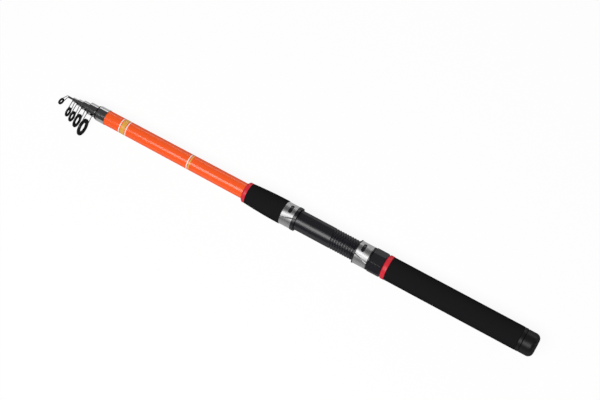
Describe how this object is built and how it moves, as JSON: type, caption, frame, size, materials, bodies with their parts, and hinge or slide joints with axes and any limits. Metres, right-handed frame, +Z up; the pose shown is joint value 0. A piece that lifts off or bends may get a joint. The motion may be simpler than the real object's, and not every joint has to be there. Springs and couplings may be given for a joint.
{
  "type": "telescopic fishing rod",
  "caption": "Collapsed telescopic fishing rod with foam grips, a screw reel seat with a sliding hood, a screw butt cap and ring guides on sections that pull out.",
  "frame": {"origin": "middle of the butt cap's flat end face, on the rod's axis", "axes": "+X along the rod from butt to tip, +Z up with the rod lying on its side, +Y to the side that the line guides point to"},
  "size_m": [0.5963, 0.0467, 0.0283],
  "materials": {
    "orange_blank": "gloss",
    "black_foam": "matte",
    "red_trim": "satin",
    "black_plastic": "gloss",
    "bright_metal": "polished",
    "wire_steel": "satin",
    "ring_plastic": "satin",
    "ring_ceramic": "gloss",
    "cap_plastic": "matte",
    "pad_rubber": "matte",
    "bush_fibre": "matte"
  },
  "bodies": {
    "handle": {"butt_section": "orange_blank", "front_ferrule": "bright_metal", "fore_grip": "black_foam", "fore_grip_ring": "red_trim", "reel_seat_barrel": "black_plastic", "seat_bush_front": "bush_fibre", "seat_bush_rear": "bush_fibre", "front_hood_body": "black_plastic", "front_hood_cover": "bright_metal", "rear_grip": "black_foam", "rear_grip_ring": "red_trim", "butt_collar": "cap_plastic"},
    "sliding_hood": {"sliding_hood_body": "black_plastic", "sliding_hood_cover": "bright_metal"},
    "lock_nut": {"lock_nut": "black_plastic"},
    "cap_pad": {"butt_cap_pad": "pad_rubber"},
    "butt_cap": {"butt_cap": "cap_plastic"},
    "section_2": {"section_2": "orange_blank"},
    "section_3": {"section_3": "orange_blank"},
    "section_4": {"section_4": "orange_blank"},
    "section_5": {"section_5": "orange_blank"},
    "tip_section": {"tip_section": "orange_blank"},
    "guide_2": {"guide_2_sleeve_tube": "bright_metal", "guide_2_frame": "wire_steel", "guide_2_ring": "ring_plastic", "guide_2_insert": "ring_ceramic", "guide_2_stop_ring": "ring_plastic"},
    "guide_3": {"guide_3_sleeve_tube": "bright_metal", "guide_3_frame": "wire_steel", "guide_3_ring": "ring_plastic", "guide_3_insert": "ring_ceramic"},
    "guide_4": {"guide_4_sleeve_tube": "bright_metal", "guide_4_frame": "wire_steel", "guide_4_ring": "ring_plastic", "guide_4_insert": "ring_ceramic"},
    "guide_5": {"guide_5_sleeve_tube": "bright_metal", "guide_5_frame": "wire_steel", "guide_5_ring": "ring_plastic", "guide_5_insert": "ring_ceramic"},
    "tip_top": {"tip_top_tube": "wire_steel", "tip_top_frame": "wire_steel", "tip_top_ring": "ring_plastic", "tip_top_insert": "ring_ceramic"}
  },
  "joints": [
    {"name": "section_2_slide", "type": "slide", "parent": "handle", "child": "section_2", "axis": [1, 0, 0], "range_m": [0, 0.42]},
    {"name": "section_3_slide", "type": "slide", "parent": "section_2", "child": "section_3", "axis": [1, 0, 0], "range_m": [0, 0.42]},
    {"name": "section_4_slide", "type": "slide", "parent": "section_3", "child": "section_4", "axis": [1, 0, 0], "range_m": [0, 0.42]},
    {"name": "section_5_slide", "type": "slide", "parent": "section_4", "child": "section_5", "axis": [1, 0, 0], "range_m": [0, 0.42]},
    {"name": "tip_section_slide", "type": "slide", "parent": "section_5", "child": "tip_section", "axis": [1, 0, 0], "range_m": [0, 0.42]},
    {"name": "guide_2_turn", "type": "hinge", "parent": "section_2", "child": "guide_2", "pos_m": [0.5572, 0, 0], "axis": [1, 0, 0], "continuous": true},
    {"name": "guide_3_turn", "type": "hinge", "parent": "section_3", "child": "guide_3", "pos_m": [0.5664, 0, 0], "axis": [1, 0, 0], "continuous": true},
    {"name": "guide_4_turn", "type": "hinge", "parent": "section_4", "child": "guide_4", "pos_m": [0.5741, 0, 0], "axis": [1, 0, 0], "continuous": true},
    {"name": "guide_5_turn", "type": "hinge", "parent": "section_5", "child": "guide_5", "pos_m": [0.581, 0, 0], "axis": [1, 0, 0], "continuous": true},
    {"name": "tip_top_turn", "type": "hinge", "parent": "tip_section", "child": "tip_top", "pos_m": [0.5879, 0, 0], "axis": [1, 0, 0], "continuous": true},
    {"name": "hood_slide", "type": "slide", "parent": "handle", "child": "sliding_hood", "axis": [1, 0, 0], "range_m": [0, 0.0301]},
    {"name": "nut_turn", "type": "hinge", "parent": "sliding_hood", "child": "lock_nut", "pos_m": [0.1891, 0, 0], "axis": [1, 0, 0], "range_deg": [0, 3600]},
    {"name": "pad_slide", "type": "slide", "parent": "handle", "child": "cap_pad", "axis": [-1, 0, 0], "range_m": [0, 0.0091]},
    {"name": "cap_turn", "type": "hinge", "parent": "cap_pad", "child": "butt_cap", "pos_m": [0.0076, 0, 0], "axis": [-1, 0, 0], "range_deg": [0, 1620]}
  ],
  "couplings": [
    {"joint": "hood_slide", "follows": "nut_turn", "m_per_rad": 0.00047746},
    {"joint": "pad_slide", "follows": "cap_turn", "m_per_rad": 0.00031831}
  ]
}
